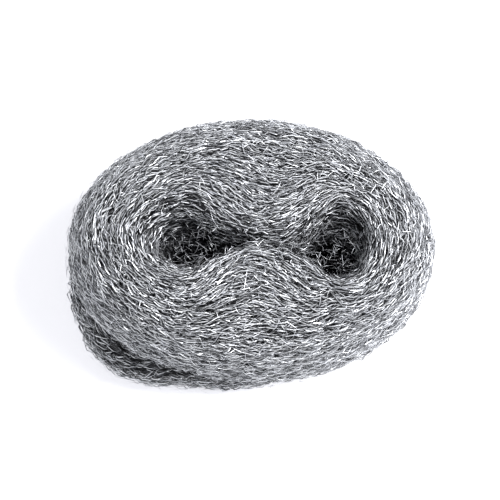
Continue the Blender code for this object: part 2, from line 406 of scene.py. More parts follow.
# Painted shade in the crease over the tail.
crease_line = bell(roll[..., 2], crease_height(turn_row), CREASE_HALF_HEIGHT)
crease_line = crease_line * tail_shares(turn_row)[1] * (roll_across > CREASE_FROM)
on_core = np.broadcast_to(STATIONS[0], roll_face.shape) > CORE_SIDE
light_left = np.where(on_core, core_light, 1.0 - CREASE_SHADE * crease_line)

# Painted shade on the lips of the eyes and the slit, reaching further on the left eye's far side, and in
# the grooves.
core_x_row = core_outline(turn_row, 1.0)[0]
funnel = bell(core_x_row, LEFT_EYE["x"], LEFT_EYE["half_length"]) * (np.sin(turn_row) > 0.0)
lip_line = bell(roll_across, 0.0, LIP_REACH + FUNNEL_REACH * funnel) * (roll_face > 0.0)
groove_line = groove_share(turn_row, roll_across) * smooth_step(*GROOVE_FACES, roll_face)
light_left = light_left * (1.0 - (LIP_SHADE + FUNNEL_SHADE * funnel) * lip_line)
light_left = light_left * (1.0 - GROOVE_SHADE * groove_line)
print("light left from", round(float(light_left.min()), 3), "to", round(float(light_left.max()), 3))

# %% [markdown]
# ## The packed body
#
# Deep in the wool the strands shade each other until no light is left. A closed body just under the
# surface stands for that depth, painted nearly black as painted shade. It is the roll's own shape, sunk by
# a millimetre or two, and deepest in the furrows and where the wool is loose.

# %% Body mesh
BODY_SINK = 0.0014
LOOSE_SINK = 0.0030
FURROW_DEPTH = 0.0005
FURROW_RANGE = (-2.0, 1.2)
BODY_STRIDE = 2


def new_object(name, data):
    """Links a mesh, a lamp or a camera to the scene under a name."""
    thing = bpy.data.objects.new(name, data)
    bpy.context.scene.collection.objects.link(thing)
    return thing


def mesh_from_arrays(name, points, loops, starts):
    """A mesh from its points, the point of each face corner, and the corner that each face starts at."""
    mesh = bpy.data.meshes.new(name)
    mesh.vertices.add(len(points))
    mesh.vertices.foreach_set("co", points.reshape(-1).astype(np.float32))
    mesh.loops.add(len(loops))
    mesh.loops.foreach_set("vertex_index", loops.astype(np.int32))
    mesh.polygons.add(len(starts))
    mesh.polygons.foreach_set("loop_start", starts.astype(np.int32))
    mesh.update(calc_edges=True)
    return mesh


def closed_grid_mesh(name, points):
    """A mesh of quads over a grid that closes on itself both ways."""
    rows, columns = points.shape[:2]
    index = np.arange(rows * columns).reshape(rows, columns)
    right = np.roll(index, -1, axis=1)
    down = np.roll(index, -1, axis=0)
    corner = np.roll(right, -1, axis=0)
    quads = np.stack([index, right, corner, down], axis=-1).reshape(-1, 4)
    return mesh_from_arrays(name, points.reshape(-1, 3), quads.reshape(-1), np.arange(0, quads.size, 4))


sunk = BODY_SINK + LOOSE_SINK * loose - FURROW_DEPTH * np.clip(wisps, *FURROW_RANGE)
body_points = (roll - roll_normal * sunk[..., None])[::BODY_STRIDE, ::BODY_STRIDE]
body_points[..., 2] = np.maximum(body_points[..., 2], 0.0)
body = new_object("packed_wool", closed_grid_mesh("packed_wool", body_points))
body.data.validate()
body.data.shade_smooth()
print("packed body", len(body.data.polygons), "faces")

# %% [markdown]
# The body's finish follows the winding, so each corner of its mesh carries its place along and across the
# ribbon. An unwrapped UV would have a seam down one side. Here the place along is a point of a circle,
# which has none, and the place across is a length round the section, whose seam is deep in the core.

# %% Places along and across the ribbon
FLOW_RADIUS = 0.045
SEAM_FACE = -0.9

off_seam = np.abs(STATIONS[3][:, 0] - SEAM_FACE) + (STATIONS[0][:, 0] < 0.5)
SEAM_ROW = BODY_STRIDE * (int(np.argmin(off_seam)) // BODY_STRIDE)
section_step = np.linalg.norm(np.roll(roll, -1, axis=0) - roll, axis=-1).mean(axis=1)
section_length = float(section_step.sum())
order = (np.arange(STATION_STEPS) - SEAM_ROW) % STATION_STEPS
rows_in_order = np.argsort(order)
place_across = np.zeros(STATION_STEPS)
place_across[rows_in_order] = np.concatenate([[0.0], np.cumsum(section_step[rows_in_order])[:-1]])


def write_flow(mesh):
    """Writes the flow attribute on each corner: a point of a circle for the turn, and the place across."""
    rows, columns = body_points.shape[:2]
    row = np.repeat(np.arange(rows), columns)
    column = np.tile(np.arange(columns), rows)
    corner_rows = np.stack([row, row, row + 1, row + 1], axis=-1) % rows
    corner_columns = np.stack([column, column + 1, column + 1, column], axis=-1) % columns
    turn = corner_columns / columns * 2.0 * math.pi
    across = place_across[corner_rows * BODY_STRIDE]
    wraps = order[corner_rows * BODY_STRIDE] == 0
    wraps[:, :2] = False
    across = np.where(wraps, section_length, across)
    flow = np.stack([FLOW_RADIUS * np.cos(turn), FLOW_RADIUS * np.sin(turn), across], axis=-1)
    attribute = mesh.attributes.new("flow", "FLOAT_VECTOR", "CORNER")
    attribute.data.foreach_set("vector", flow.reshape(-1).astype(np.float32))


write_flow(body.data)
print("section length", round(section_length, 4), "seam at row", SEAM_ROW)

# %% [markdown]
# ## The path of a strand
#
# A strand is a long shaving: it runs along the winding, bends, and swings to and fro. Curves could be
# drawn by hand for a few. For tens of thousands, each step reads the roll's grid for how many metres a
# radian of turn and a whole section measure there, and moves every path on by one point at once.


# %% Reading the roll between its grid points
def read_grid(values, turn, station):
    """Values of a grid at any turn (radians) and station (0 to 1), blended from the four nearest points."""
    down = (station % 1.0) * STATION_STEPS
    right = (turn / (2.0 * math.pi) % 1.0) * TURN_STEPS
    row, column = np.floor(down).astype(int), np.floor(right).astype(int)
    a, b = down - row, right - column
    row, column = row % STATION_STEPS, column % TURN_STEPS
    next_row, next_column = (row + 1) % STATION_STEPS, (column + 1) % TURN_STEPS
    if values.ndim == 3:
        a, b = a[..., None], b[..., None]
    near = values[row, column] * (1.0 - b) + values[row, next_column] * b
    far = values[next_row, column] * (1.0 - b) + values[next_row, next_column] * b
    return near * (1.0 - a) + far * a


step_along = np.roll(roll, -1, axis=1) - np.roll(roll, 1, axis=1)
step_around = np.roll(roll, -1, axis=0) - np.roll(roll, 1, axis=0)
metres_per_turn = np.linalg.norm(step_along, axis=-1) * TURN_STEPS / (4.0 * math.pi)
metres_per_station = np.maximum(np.linalg.norm(step_around, axis=-1) * 0.5 * STATION_STEPS, 1e-4)
print("a radian of turn measures up to", round(float(metres_per_turn.max()), 4), "m")

# %% Strand paths on the roll
LEAST_PER_TURN = 0.002
LEAST_PER_STATION = 0.02
MOST_STRETCH = 1.3


def strand_paths(turn, station, heading, length, points, bends, waves, wave_lengths):
    """Paths that wander over the roll: each heading turns steadily, and swings to and fro.

    A heading of 0 runs along the winding, and half of the paths run the other way. Each path starts at its
    place and has its heading half way along. bends and waves are spreads, and wave_lengths is a range.
    Returns the turns and stations of its points, and each point's distance along the path.
    """
    count = len(turn)
    heading = heading + np.where(chance.random(count) < 0.5, math.pi, 0.0)
    bend = chance.normal(0.0, bends, count)
    wave = np.abs(chance.normal(0.0, waves, count))
    wave_length = chance.uniform(*wave_lengths, count)
    phase = chance.uniform(0.0, 2.0 * math.pi, count)
    stride = length / (points - 1)
    distance = np.arange(points)[None, :] * stride[:, None]
    swing = wave[:, None] * np.sin(2.0 * math.pi * distance / wave_length[:, None] + phase[:, None])
    headings = heading[:, None] + bend[:, None] * (distance - 0.5 * length[:, None]) + swing
    turns, stations = [turn], [station]
    for step in range(1, points):
        along = np.maximum(read_grid(metres_per_turn, turns[-1], stations[-1]), LEAST_PER_TURN)
        around = np.maximum(read_grid(metres_per_station, turns[-1], stations[-1]), LEAST_PER_STATION)
        turns.append(turns[-1] + stride * np.cos(headings[:, step - 1]) / along)
        stations.append(stations[-1] + stride * np.sin(headings[:, step - 1]) / around)
    return np.stack(turns, axis=1), np.stack(stations, axis=1), distance


def held_to_length(name, paths, length):
    """Draws a path in about its middle where the roll's sharp bends have stretched it past its length."""
    real = np.linalg.norm(np.diff(paths, axis=1), axis=-1).sum(axis=1)
    share = np.minimum(1.0, MOST_STRETCH * length / real)[:, None, None]
    print(name, int((share < 1.0).sum()), "of", len(paths), "strands drawn in")
    middle = paths[:, paths.shape[1] // 2][:, None]
    return middle + (paths - middle) * share


# %% [markdown]
# ## The strand itself
#
# A strand of steel wool is thin, three-cornered and never straight. Curves with a bevel would do for a
# few, but thousands are lighter as one mesh. So a strand is a path with a three-cornered ring at each of
# its points, drawn to a tip at both ends, and a whole layer is computed together.

# %% Strands as one mesh
RING = 3
MOST_TWIST = 1.5


def strand_mesh(name, paths, radius, up, tone):
    """One mesh of three-cornered strands: a ring at each inner point of a path, and a tip at both ends.

    paths is strands x points x 3, radius and tone are strands x points, and up is roughly outward.
    """
    strands, points = paths.shape[:2]
    forward = unit(np.gradient(paths, axis=1))
    side = unit(np.cross(forward, up))
    rise = np.cross(side, forward)
    turned = chance.uniform(0.0, 2.0 * math.pi, (strands, 1, 1))
    twist = chance.uniform(-MOST_TWIST, MOST_TWIST, (strands, 1, 1))
    along = np.linspace(0.0, 1.0, points)[None, :, None]
    angle = turned + twist * along + np.arange(RING)[None, None, :] * 2.0 * math.pi / RING
    ring = np.cos(angle)[..., None] * side[:, :, None] + np.sin(angle)[..., None] * rise[:, :, None]
    corners = (paths[:, :, None] + ring * radius[:, :, None, None])[:, 1:-1]
    tips = paths[:, [0, -1]]
    index = np.arange(strands * (points - 2) * RING).reshape(strands, points - 2, RING)
    tip_index = index.size + np.arange(strands * 2).reshape(strands, 2)
    beside = np.roll(index, -1, axis=2)
    quads = np.stack([index[:, :-1], beside[:, :-1], beside[:, 1:], index[:, 1:]], axis=-1).reshape(-1, 4)
    first = np.broadcast_to(tip_index[:, :1], (strands, RING))
    last = np.broadcast_to(tip_index[:, 1:], (strands, RING))
    first_caps = np.stack([first, beside[:, 0], index[:, 0]], axis=-1).reshape(-1, 3)
    last_caps = np.stack([index[:, -1], beside[:, -1], last], axis=-1).reshape(-1, 3)
    caps = np.concatenate([first_caps, last_caps])
    loops = np.concatenate([quads.reshape(-1), caps.reshape(-1)])
    starts = np.concatenate([np.arange(len(quads)) * 4, quads.size + np.arange(len(caps)) * 3])
    places = np.concatenate([corners.reshape(-1, 3), tips.reshape(-1, 3)])
    ring_tones = np.repeat(tone[:, 1:-1, None], RING, axis=2)
    tones = np.concatenate([ring_tones.reshape(-1), tone[:, [0, -1]].reshape(-1)])
    mesh = mesh_from_arrays(name, places, loops, starts)
    attribute = mesh.attributes.new("tone", "FLOAT", "POINT")
    attribute.data.foreach_set("value", tones.astype(np.float32))
    mesh.shade_flat()
    return mesh


def triangle_count(piece):
    """How many triangles a piece's mesh makes."""
    return len(piece.data.loops) - 2 * len(piece.data.polygons)


# %% [markdown]
# ## Where strands start
#
# Strands are spread by area, but the ones underneath and deep in the core are hardly ever seen. Two
# tables from foot to top, outside and in the core, thin them out there. That leaves more triangles for
# the end face and the shoulder. A few more start on a wisp than in a furrow.

# %% Where strands start
OUTSIDE_FACES, OUTSIDE_SHARES = [-1.0, -0.8, 0.0, 0.5, 1.0], [0.10, 0.3, 0.5, 0.9, 1.0]
CORE_FACES, CORE_SHARES = [-0.95, -0.7, -0.1, 0.4], [0.12, 0.5, 0.9, 1.0]
WISP_CROWDING = 0.20

outside_weight = np.interp(STATIONS[3][:, 0], OUTSIDE_FACES, OUTSIDE_SHARES)
core_weight = np.interp(STATIONS[3][:, 0], CORE_FACES, CORE_SHARES)
row_weight = np.where(STATIONS[0][:, 0] > 0.5, core_weight, outside_weight)
start_weight = metres_per_turn * metres_per_station * row_weight[:, None] * np.exp(WISP_CROWDING * wisps)
start_weight = start_weight.reshape(-1) / start_weight.sum()
start_share = np.cumsum(start_weight)


def starting_places(count):
    """Turns and stations drawn by weight, evenly spaced, each at a random place in its grid cell."""
    share = (np.arange(count) + chance.random(count)) / count
    cell = np.minimum(np.searchsorted(start_share, share), start_weight.size - 1)
    row, column = np.divmod(cell, TURN_STEPS)
    station = (row + chance.random(count)) / STATION_STEPS
    turn = (column + chance.random(count)) / TURN_STEPS * 2.0 * math.pi
    return turn, station


print("cells to start in", start_weight.size)

# %% [markdown]
# ## How bright and how thick a strand is
#
# Each flat side is a tiny mirror, so one strand glints while its neighbour is nearly black. One roughness
# for all would average that away. So every strand gets a tone of its own that paints its glint and shade,
# with a swing along it where it twists, and in the shade a share of the strands is painted dark.

# %% Tones and thickness
MID_TONES, DARK_TONES, BRIGHT_TONES = (0.30, 0.65), (0.0, 0.04), (0.7, 1.0)
TONE_SWING = 0.4
TONE_WAVE_LENGTHS = (0.003, 0.008)
SHADE_SOFTNESS = 0.3
THICKNESSES = (0.6, 1.25)
TIP_THINNING, TIP_SHARPNESS = 0.6, 4


def strand_tone(strands, distance, share_dark, share_bright):
    """Each strand's painted glint and shade: dark, middling or bright, with a swing along it as its sides
    turn.
    """
    pick = chance.random((strands, 1))
    level = chance.uniform(*MID_TONES, (strands, 1))
    level = np.where(pick < share_dark, chance.uniform(*DARK_TONES, (strands, 1)), level)
    level = np.where(pick > 1.0 - share_bright, chance.uniform(*BRIGHT_TONES, (strands, 1)), level)
    phase = chance.uniform(0.0, 2.0 * math.pi, (strands, 1))
    wave_length = chance.uniform(*TONE_WAVE_LENGTHS, (strands, 1))
    swing = TONE_SWING * np.sin(2.0 * math.pi * distance / wave_length + phase)
    return np.clip(level * (1.0 + swing), 0.0, 1.0)


def shaded(tone, lit):
    """Painted shade on tones where only a share of the light is left: the less there is, the more strands
    are painted dark.
    """
    shadow = chance.random((len(tone), 1))
    return tone * np.clip(((1.0 + SHADE_SOFTNESS) * lit - shadow) / SHADE_SOFTNESS, 0.0, 1.0)


def tapered(radius, strands, share):
    """A radius for each point: each strand has its own thickness, and thins towards both ends."""
    thickness = chance.uniform(*THICKNESSES, (strands, 1))
    return radius * thickness * (1.0 - TIP_THINNING * np.abs(2.0 * share - 1.0) ** TIP_SHARPNESS)


# %% [markdown]
# ## Strands in pairs
#
# A bright strand nearly always has a black gap beside it: the shade of the strand in front. Real gaps
# that fine would need several times as many strands. A dark strand laid close beside each bright one, and
# a little lower, is painted shade: it draws the gap at the cost of one strand.

# %% A dark strand beside each bright one
TWIN_GAP, TWIN_GAP_SPREAD = 0.00035, (0.8, 1.2)
TWIN_DROP = 0.00003
BRIGHT_WIDTH, DARK_WIDTH = 1.4, 1.65
TWIN_TONES = (0.0, 0.03)
HAZE_TONE = 0.15


def with_dark_twins(paths, normal, radius, tone, haze):
    """Doubles a layer: each strand gets a dark one beside it and a little lower as painted shade, greyer in
    the haze.
    """
    side = unit(np.cross(np.gradient(paths, axis=1), normal))
    side *= np.where(chance.random((len(paths), 1, 1)) < 0.5, -1.0, 1.0)
    gap = TWIN_GAP * chance.uniform(*TWIN_GAP_SPREAD, (len(paths), 1, 1))
    twins = paths + side * gap - normal * TWIN_DROP
    # The twin's painted shade is painted lighter where the wool is loose.
    shade = chance.uniform(*TWIN_TONES, (len(paths), 1)) + HAZE_TONE * haze
    return (np.concatenate([paths, twins]), np.concatenate([normal, normal]),
            np.concatenate([BRIGHT_WIDTH * radius, DARK_WIDTH * radius]), np.concatenate([tone, shade]))


# %% [markdown]
# ## The layers of strands
#
# Most strands run along the winding, bent and waved so that they cross their neighbours at shallow
# angles. Some stray across, and their ends dive back into the wool. A single layer looks combed, so there
# are five, from mostly dark ones deep down, with fewer points, to bright pairs on top: painted shade that
# deepens downwards.

# %% Packed strands
STRAND_RADIUS = 0.00010
STRANDS_IN_LAYER = 16000
STRAND_POINTS, DEEP_STRAND_POINTS = 4, 3
STRAND_LENGTHS = (0.0040, 0.0080)
HEADING_SPREAD, STRAY_SPREAD = 0.17, 0.6
BEND_SPREAD = 34.0
WAVE_SPREAD, WAVE_LENGTHS = 0.30, (0.005, 0.012)
SLACK_RANGE = (-0.0022, 0.0012)
SWING_HEIGHT, SWINGS = 0.00025, (0.6, 1.6)
DIVE_DEPTH, DIVE_SHARPNESS = 0.0009, 5
WISP_HEIGHT, WISP_RANGE = 0.00020, (-2.0, 2.0)
FLOOR_GAP = 1.1


def packed_layer(name, lift, stray, dark, bright, twins=False):
    """A layer of strands between two heights over the roll, most along the winding and a share astray."""
    count = STRANDS_IN_LAYER // 2 if twins else STRANDS_IN_LAYER
    turn, station = starting_places(count)
    length = chance.uniform(*STRAND_LENGTHS, count)
    astray = chance.random(count) < stray
    stray_heading = chance.normal(0.0, STRAY_SPREAD, count)
    heading = np.where(astray, stray_heading, chance.normal(0.0, HEADING_SPREAD, count))
    points = STRAND_POINTS if twins else DEEP_STRAND_POINTS
    turns, stations, distance = strand_paths(
        turn, station, heading, length, points, BEND_SPREAD, WAVE_SPREAD, WAVE_LENGTHS)
    share = distance / length[:, None]
    haze = read_grid(loose, turns, stations)
    slack = haze * chance.uniform(*SLACK_RANGE, (count, 1))
    height = chance.uniform(*lift, (count, 1)) + slack
    swing = share * chance.uniform(*SWINGS, (count, 1)) + chance.random((count, 1))
    swing = SWING_HEIGHT * np.sin(2.0 * math.pi * swing)
    dive = DIVE_DEPTH * np.abs(2.0 * share - 1.0) ** DIVE_SHARPNESS
    wisp = WISP_HEIGHT * np.clip(read_grid(wisps, turns, stations), *WISP_RANGE)
    normal = read_grid(roll_normal, turns, stations)
    paths = read_grid(roll, turns, stations) + normal * (height + swing + wisp - dive)[..., None]
    paths = held_to_length(name, paths, length)
    radius = tapered(STRAND_RADIUS, count, share)
    # Where less light is left, a share of the strands is painted dark: painted shade.
    tone = shaded(strand_tone(count, distance, dark, bright), read_grid(light_left, turns, stations))
    if twins:
        paths, normal, radius, tone = with_dark_twins(paths, normal, radius, tone, haze)
    paths[..., 2] = np.maximum(paths[..., 2], FLOOR_GAP * radius)
    return new_object(name, strand_mesh(name, paths, radius, normal, tone))


# Deeper layers have more dark strands and fewer bright ones: painted shade of the depth.
pieces = [
    packed_layer("strands_deep", lift=(-0.0014, -0.0007), stray=0.10, dark=0.90, bright=0.05),
    packed_layer("strands_low", lift=(-0.0010, -0.0003), stray=0.12, dark=0.65, bright=0.30),
    packed_layer("strands_mid", lift=(-0.0007, -0.0001), stray=0.10, dark=0.0, bright=1.0, twins=True),
    packed_layer("strands_high", lift=(-0.0005, 0.0002), stray=0.10, dark=0.0, bright=1.0, twins=True),
    packed_layer("strands_top", lift=(-0.0003, 0.0005), stray=0.14, dark=0.0, bright=1.0, twins=True),
]
for piece in pieces:
    print(piece.name, triangle_count(piece), "triangles")

# %% [markdown]
# ## Strands across the eyes
#
# The two eyes are open, but not empty: loose strands cross them at every height, and the deeper ones are
# painted darker, as painted shade, until they are lost in the dark. They aren't on the roll's surface, so
# each one is an arc in the air from a place inside the eye, at a height of its own, long enough to reach
# the wall. At the foot a tangle of thick strands, painted all dark as painted shade, keeps the white floor
# from shining up through the eye, as the wool does in the photo.

# %% Arcs in the air
ARC_POINTS = 6
ARC_SAG = 25.0
ARC_LOWEST, ARC_BELOW_TOP = 0.001, 0.0003
EYE_DARK_Z, EYE_LIT_Z = 0.014, 0.062


def arc_paths(middle, heading, tilt, length, bend, points):
    """Arcs in space: about a middle, along a heading in plan that turns by bend, rising by tilt."""
    distance = np.linspace(-0.5, 0.5, points)[None, :] * length[:, None]
    angle = heading[:, None] + bend[:, None] * distance
    stride = length[:, None] / (points - 1)
    x = np.cumsum(np.cos(angle) * stride, axis=1)
    y = np.cumsum(np.sin(angle) * stride, axis=1)
    x = middle[:, :1] + x - x.mean(axis=1, keepdims=True)
    y = middle[:, 1:2] + y - y.mean(axis=1, keepdims=True)
    z = middle[:, 2:] + tilt[:, None] * distance - ARC_SAG * np.abs(tilt)[:, None] * distance ** 2
    return np.stack([x, y, z], axis=-1)


def loose_arcs(name, middle, heading, tilt, length, bend, thickness, shares):
    """A piece of arcs, thickness times as thick as packed strands, with shares of dark and bright ones."""
    count = len(length)
    paths = arc_paths(middle, heading, tilt, length, bend, ARC_POINTS)
    paths[..., 2] = np.clip(paths[..., 2], ARC_LOWEST, RIBBON_WIDTH - ARC_BELOW_TOP)
    share = np.linspace(0.0, 1.0, ARC_POINTS)[None, :]
    radius = tapered(thickness * STRAND_RADIUS, count, share)
    tone = strand_tone(count, share * length[:, None], *shares)
    # Lower arcs are painted darker: painted shade that deepens down the eye.
    tone = shaded(tone, smooth_step(EYE_DARK_Z, EYE_LIT_Z, paths[..., 2]))
    up = np.broadcast_to(np.array([0.0, 0.0, 1.0]), paths.shape)
    return new_object(name, strand_mesh(name, paths, radius, up, tone))


# %% Eye strands
EYE_REACH_X, EYE_REACH_Y = 1.25, 1.35
EYE_LENGTH_SHARES = (0.3, 1.0)
EYE_TILT_SPREAD = 0.35
EYE_BEND_SPREAD = 90.0
ALL_DARK = (1.0, 0.0)


def eye_strands(name, eye, count, heights, longest, thickness, shares):
    """Arcs across one eye, spread over its opening and between two heights."""
    where = np.sqrt(chance.random(count))
    around = chance.uniform(0.0, 2.0 * math.pi, count)
    middle = np.stack([
        eye["x"] + EYE_REACH_X * eye["half_length"] * where * np.cos(around),
        eye["y"] + EYE_REACH_Y * eye["waist"] * where * np.sin(around),
        chance.uniform(*heights, count),
    ], axis=-1)
    heading = chance.uniform(0.0, 2.0 * math.pi, count)
    length = chance.uniform(*EYE_LENGTH_SHARES, count) * longest
    tilt = chance.normal(0.0, EYE_TILT_SPREAD, count)
    bend = chance.normal(0.0, EYE_BEND_SPREAD, count)
    return loose_arcs(name, middle, heading, tilt, length, bend, thickness, shares)


pieces += [
    eye_strands("strands_left_eye", LEFT_EYE, 1000, (0.014, 0.047), 0.0040, 0.45, (0.40, 0.35)),
    eye_strands("strands_right_eye", RIGHT_EYE, 900, (0.012, 0.045), 0.0045, 0.45, (0.40, 0.30)),
    # The tangles at the foot of the eyes are painted all dark: painted shade.
    eye_strands("tangle_left_eye", LEFT_EYE, 700, (0.001, 0.012), 0.0100, 2.0, ALL_DARK),
    eye_strands("tangle_right_eye", RIGHT_EYE, 700, (0.001, 0.010), 0.0100, 2.0, ALL_DARK),
]
print("eye strands", [triangle_count(piece) for piece in pieces[-4:]], "triangles")

# %% [markdown]
# ## Strands across the slit
#
# Where the turns are pressed together between the eyes, strands of one side have caught in the other, and
# bridge the slit just under the end face. They are the same arcs as in the eyes, laid nearly along the
# slit.

# %% Strands across the slit
BRIDGE_COUNT = 200
BRIDGE_X = (0.000, 0.019)
BRIDGE_SPREAD_Y = 0.0012
BRIDGE_DEPTHS = (0.0035, 0.0100)
BRIDGE_LENGTHS = (0.002, 0.006)
BRIDGE_HEADINGS, BRIDGE_TILTS, BRIDGE_BENDS = 0.7, 0.15, 110.0
BRIDGE_THICKNESS = 0.8
BRIDGE_SHARES = (0.5, 0.2)


def bridge_strands(name):
    """Arcs over the slit between the eyes, most of them near to its own direction."""
    x = chance.uniform(*BRIDGE_X, BRIDGE_COUNT)
    middle = np.stack([
        x,
        eye_line(x) + chance.normal(0.0, BRIDGE_SPREAD_Y, BRIDGE_COUNT),
        RIBBON_WIDTH - chance.uniform(*BRIDGE_DEPTHS, BRIDGE_COUNT),
    ], axis=-1)
    heading = chance.normal(0.0, BRIDGE_HEADINGS, BRIDGE_COUNT)
    length = chance.uniform(*BRIDGE_LENGTHS, BRIDGE_COUNT)
    tilt = chance.normal(0.0, BRIDGE_TILTS, BRIDGE_COUNT)
    bend = chance.normal(0.0, BRIDGE_BENDS, BRIDGE_COUNT)
    return loose_arcs(name, middle, heading, tilt, length, bend, BRIDGE_THICKNESS, BRIDGE_SHARES)


pieces.append(bridge_strands("strands_over_slit"))
print("bridge strands", triangle_count(pieces[-1]), "triangles")

# %% [markdown]
# ## Fuzz
#
# Fine ends stand off the roll all round and blur its outline. A hair system would do it too, but hair is
# no mesh. These are more of the same strands: thinner, at any heading, leaving the surface at a low
# angle, and kept under a ceiling so that the roll keeps its height.

# %% Fuzz strands
FUZZ_COUNT = 5000
FUZZ_POINTS = 4
FUZZ_RADIUS, FUZZ_THICKNESSES, FUZZ_THINNING = 0.00007, (0.7, 1.3), 0.5
FUZZ_LENGTHS = (0.002, 0.006)
FUZZ_HEADINGS, FUZZ_BENDS, FUZZ_WAVES = 0.7, 90.0, 0.3
FUZZ_WAVE_LENGTHS = (0.004, 0.008)
FUZZ_LIFT, FUZZ_RISE = 0.0014, 0.0008
FUZZ_TOP = RIBBON_WIDTH + 0.0014
FUZZ_DARK, FUZZ_BRIGHT = 0.2, 0.6


def fuzz(name):
    """Thin strands that leave the surface and end a millimetre or so above it."""
    turn, station = starting_places(FUZZ_COUNT)
    length = chance.uniform(*FUZZ_LENGTHS, FUZZ_COUNT)
    heading = chance.normal(0.0, FUZZ_HEADINGS, FUZZ_COUNT)
    turns, stations, distance = strand_paths(
        turn, station, heading, length, FUZZ_POINTS, FUZZ_BENDS, FUZZ_WAVES, FUZZ_WAVE_LENGTHS)
    share = distance / length[:, None]
    lift = FUZZ_LIFT * chance.random((FUZZ_COUNT, 1)) ** 2 + FUZZ_RISE * share
    normal = read_grid(roll_normal, turns, stations)
    paths = read_grid(roll, turns, stations) + normal * lift[..., None]
    paths = held_to_length(name, paths, length)
    thickness = chance.uniform(*FUZZ_THICKNESSES, (FUZZ_COUNT, 1))
    radius = FUZZ_RADIUS * thickness * (1.0 - FUZZ_THINNING * share)
    paths[..., 2] = np.clip(paths[..., 2], FLOOR_GAP * radius, FUZZ_TOP)
    tone = strand_tone(FUZZ_COUNT, distance, FUZZ_DARK, FUZZ_BRIGHT)
    tone = shaded(tone, read_grid(light_left, turns, stations))
    return new_object(name, strand_mesh(name, paths, radius, normal, tone))


pieces.append(fuzz("fuzz"))
print("fuzz", triangle_count(pieces[-1]), "triangles")
print("all strands", sum(triangle_count(piece) for piece in pieces), "triangles")

# %% [markdown]
# ## Finishes
#
# Shader maths reads best as plain expressions, so one small class wraps a socket: adding or multiplying
# it adds the Math node. Every other node comes from one function, which takes its type, its settings and
# its sockets.


# %% A class for shader maths
class Wire:
    """One output socket in a material. Sums and products with numbers or other wires add Math nodes."""

    def __init__(self, tree, socket):
        self.tree = tree
        self.socket = socket

    def math(self, operation, *values):
        """A Math node of an operation over wires and numbers."""
        return add_node(self.tree, "ShaderNodeMath", {"operation": operation}, dict(enumerate(values)))

    def __add__(self, other):
        return self.math("ADD", self, other)

    def __sub__(self, other):
        return self.math("SUBTRACT", self, other)

    def __rsub__(self, other):
        return self.math("SUBTRACT", other, self)

    def __mul__(self, other):
        return self.math("MULTIPLY", self, other)

    def size(self):
        """The value without its sign."""
        return self.math("ABSOLUTE", self)

    def at_least(self, other):
        """The greater of this value and another."""
        return self.math("MAXIMUM", self, other)


def feed(tree, node, sockets):
    """Sets or links the sockets of a node: a wire is linked, and anything else is its value."""
    for name, value in sockets.items():
        if isinstance(value, Wire):
            tree.links.new(value.socket, node.inputs[name])
        else:
            node.inputs[name].default_value = value


def add_node(tree, kind, settings=None, sockets=None, output=0):
    """Adds a node of a type. Its settings come first, a ramp's stops among them, then values or links."""
    node = tree.nodes.new(kind)
    for name, value in (settings or {}).items():
        if name == "stops":
            ramp = node.color_ramp.elements
            while len(ramp) < len(value):
                ramp.new(0.5)
            for element, (place, colour) in zip(ramp, value):
                element.position = place
                element.color = (*colour, 1.0)
        else:
            setattr(node, name, value)
    feed(tree, node, sockets or {})
    return Wire(tree, node.outputs[output])


def new_finish(name):
    """A material with its Principled shader: returns the material, its node tree and the shader."""
    material = bpy.data.materials.new(name)
    material.use_nodes = True
    return material, material.node_tree, material.node_tree.nodes["Principled BSDF"]


# %% [markdown]
# ## Bare steel
#
# The strands are bare steel. Each strand's tone, an attribute of its mesh, goes through a ramp from
# nearly black, where its flat side looks away from the light, to nearly white, where it glints. A full
# mirror of metal this thin turns to glitter that changes with every sample, so the shader is only partly
# metallic and fairly rough.

# %% Strand finish
# The ramp paints shade and glint: nearly black for a side turned from the light, nearly white for a glint.
SHADED_STEEL = (0.015, 0.015, 0.017)
MID_STEEL = (0.86, 0.875, 0.93)
GLINTING_STEEL = (0.96, 0.975, 1.0)
STRAND_SHADER = {"Roughness": 0.45, "Metallic": 0.6, "Specular IOR Level": 0.0}


def strand_finish():
    """Bare steel whose colour follows the strand's tone."""
    material, tree, shader = new_finish("bare_steel_strand")
    tone = add_node(tree, "ShaderNodeAttribute", {"attribute_name": "tone"}, output="Fac")
    stops = [(0.0, SHADED_STEEL), (0.5, MID_STEEL), (1.0, GLINTING_STEEL)]
    colour = add_node(tree, "ShaderNodeValToRGB", {"stops": stops}, {"Fac": tone})
    feed(tree, shader, {"Base Color": colour, **STRAND_SHADER})
    return material


strand_material = strand_finish()
for piece in pieces:
    piece.data.materials.append(strand_material)
print(strand_material.name, "on", len(pieces), "pieces")

# %% [markdown]
# ## The dark between the strands
#
# The body shows only in the gaps between strands. It is painted nearly black, as painted shade deep in
# the wool, with the faint lines of deeper strands drawn out along the winding. A noise stretched along the
# flow gives the lines, and a slower one bends them.

# %% Body finish
LINE_BENDS = (90.0, 90.0, 260.0)
LINE_STRETCH = (160.0, 160.0, 2600.0)
LINE_SHIFT = 6.0
LINE_SHARPNESS = 8.0
BEND_NOISE, LINE_NOISE = {"Scale": 1.0, "Detail": 1.0}, {"Scale": 1.0, "Detail": 2.0}
# The body's colours are painted shade: nearly black, and dark grey on the lines of deeper strands.
BODY_STOPS = [(0.0, (0.006, 0.006, 0.007)), (0.6, (0.035, 0.035, 0.038)), (1.0, (0.22, 0.22, 0.235))]
BODY_BUMP = {"Distance": 0.0002, "Strength": 0.8}
BODY_SHADER = {"Roughness": 0.6, "Metallic": 0.5}


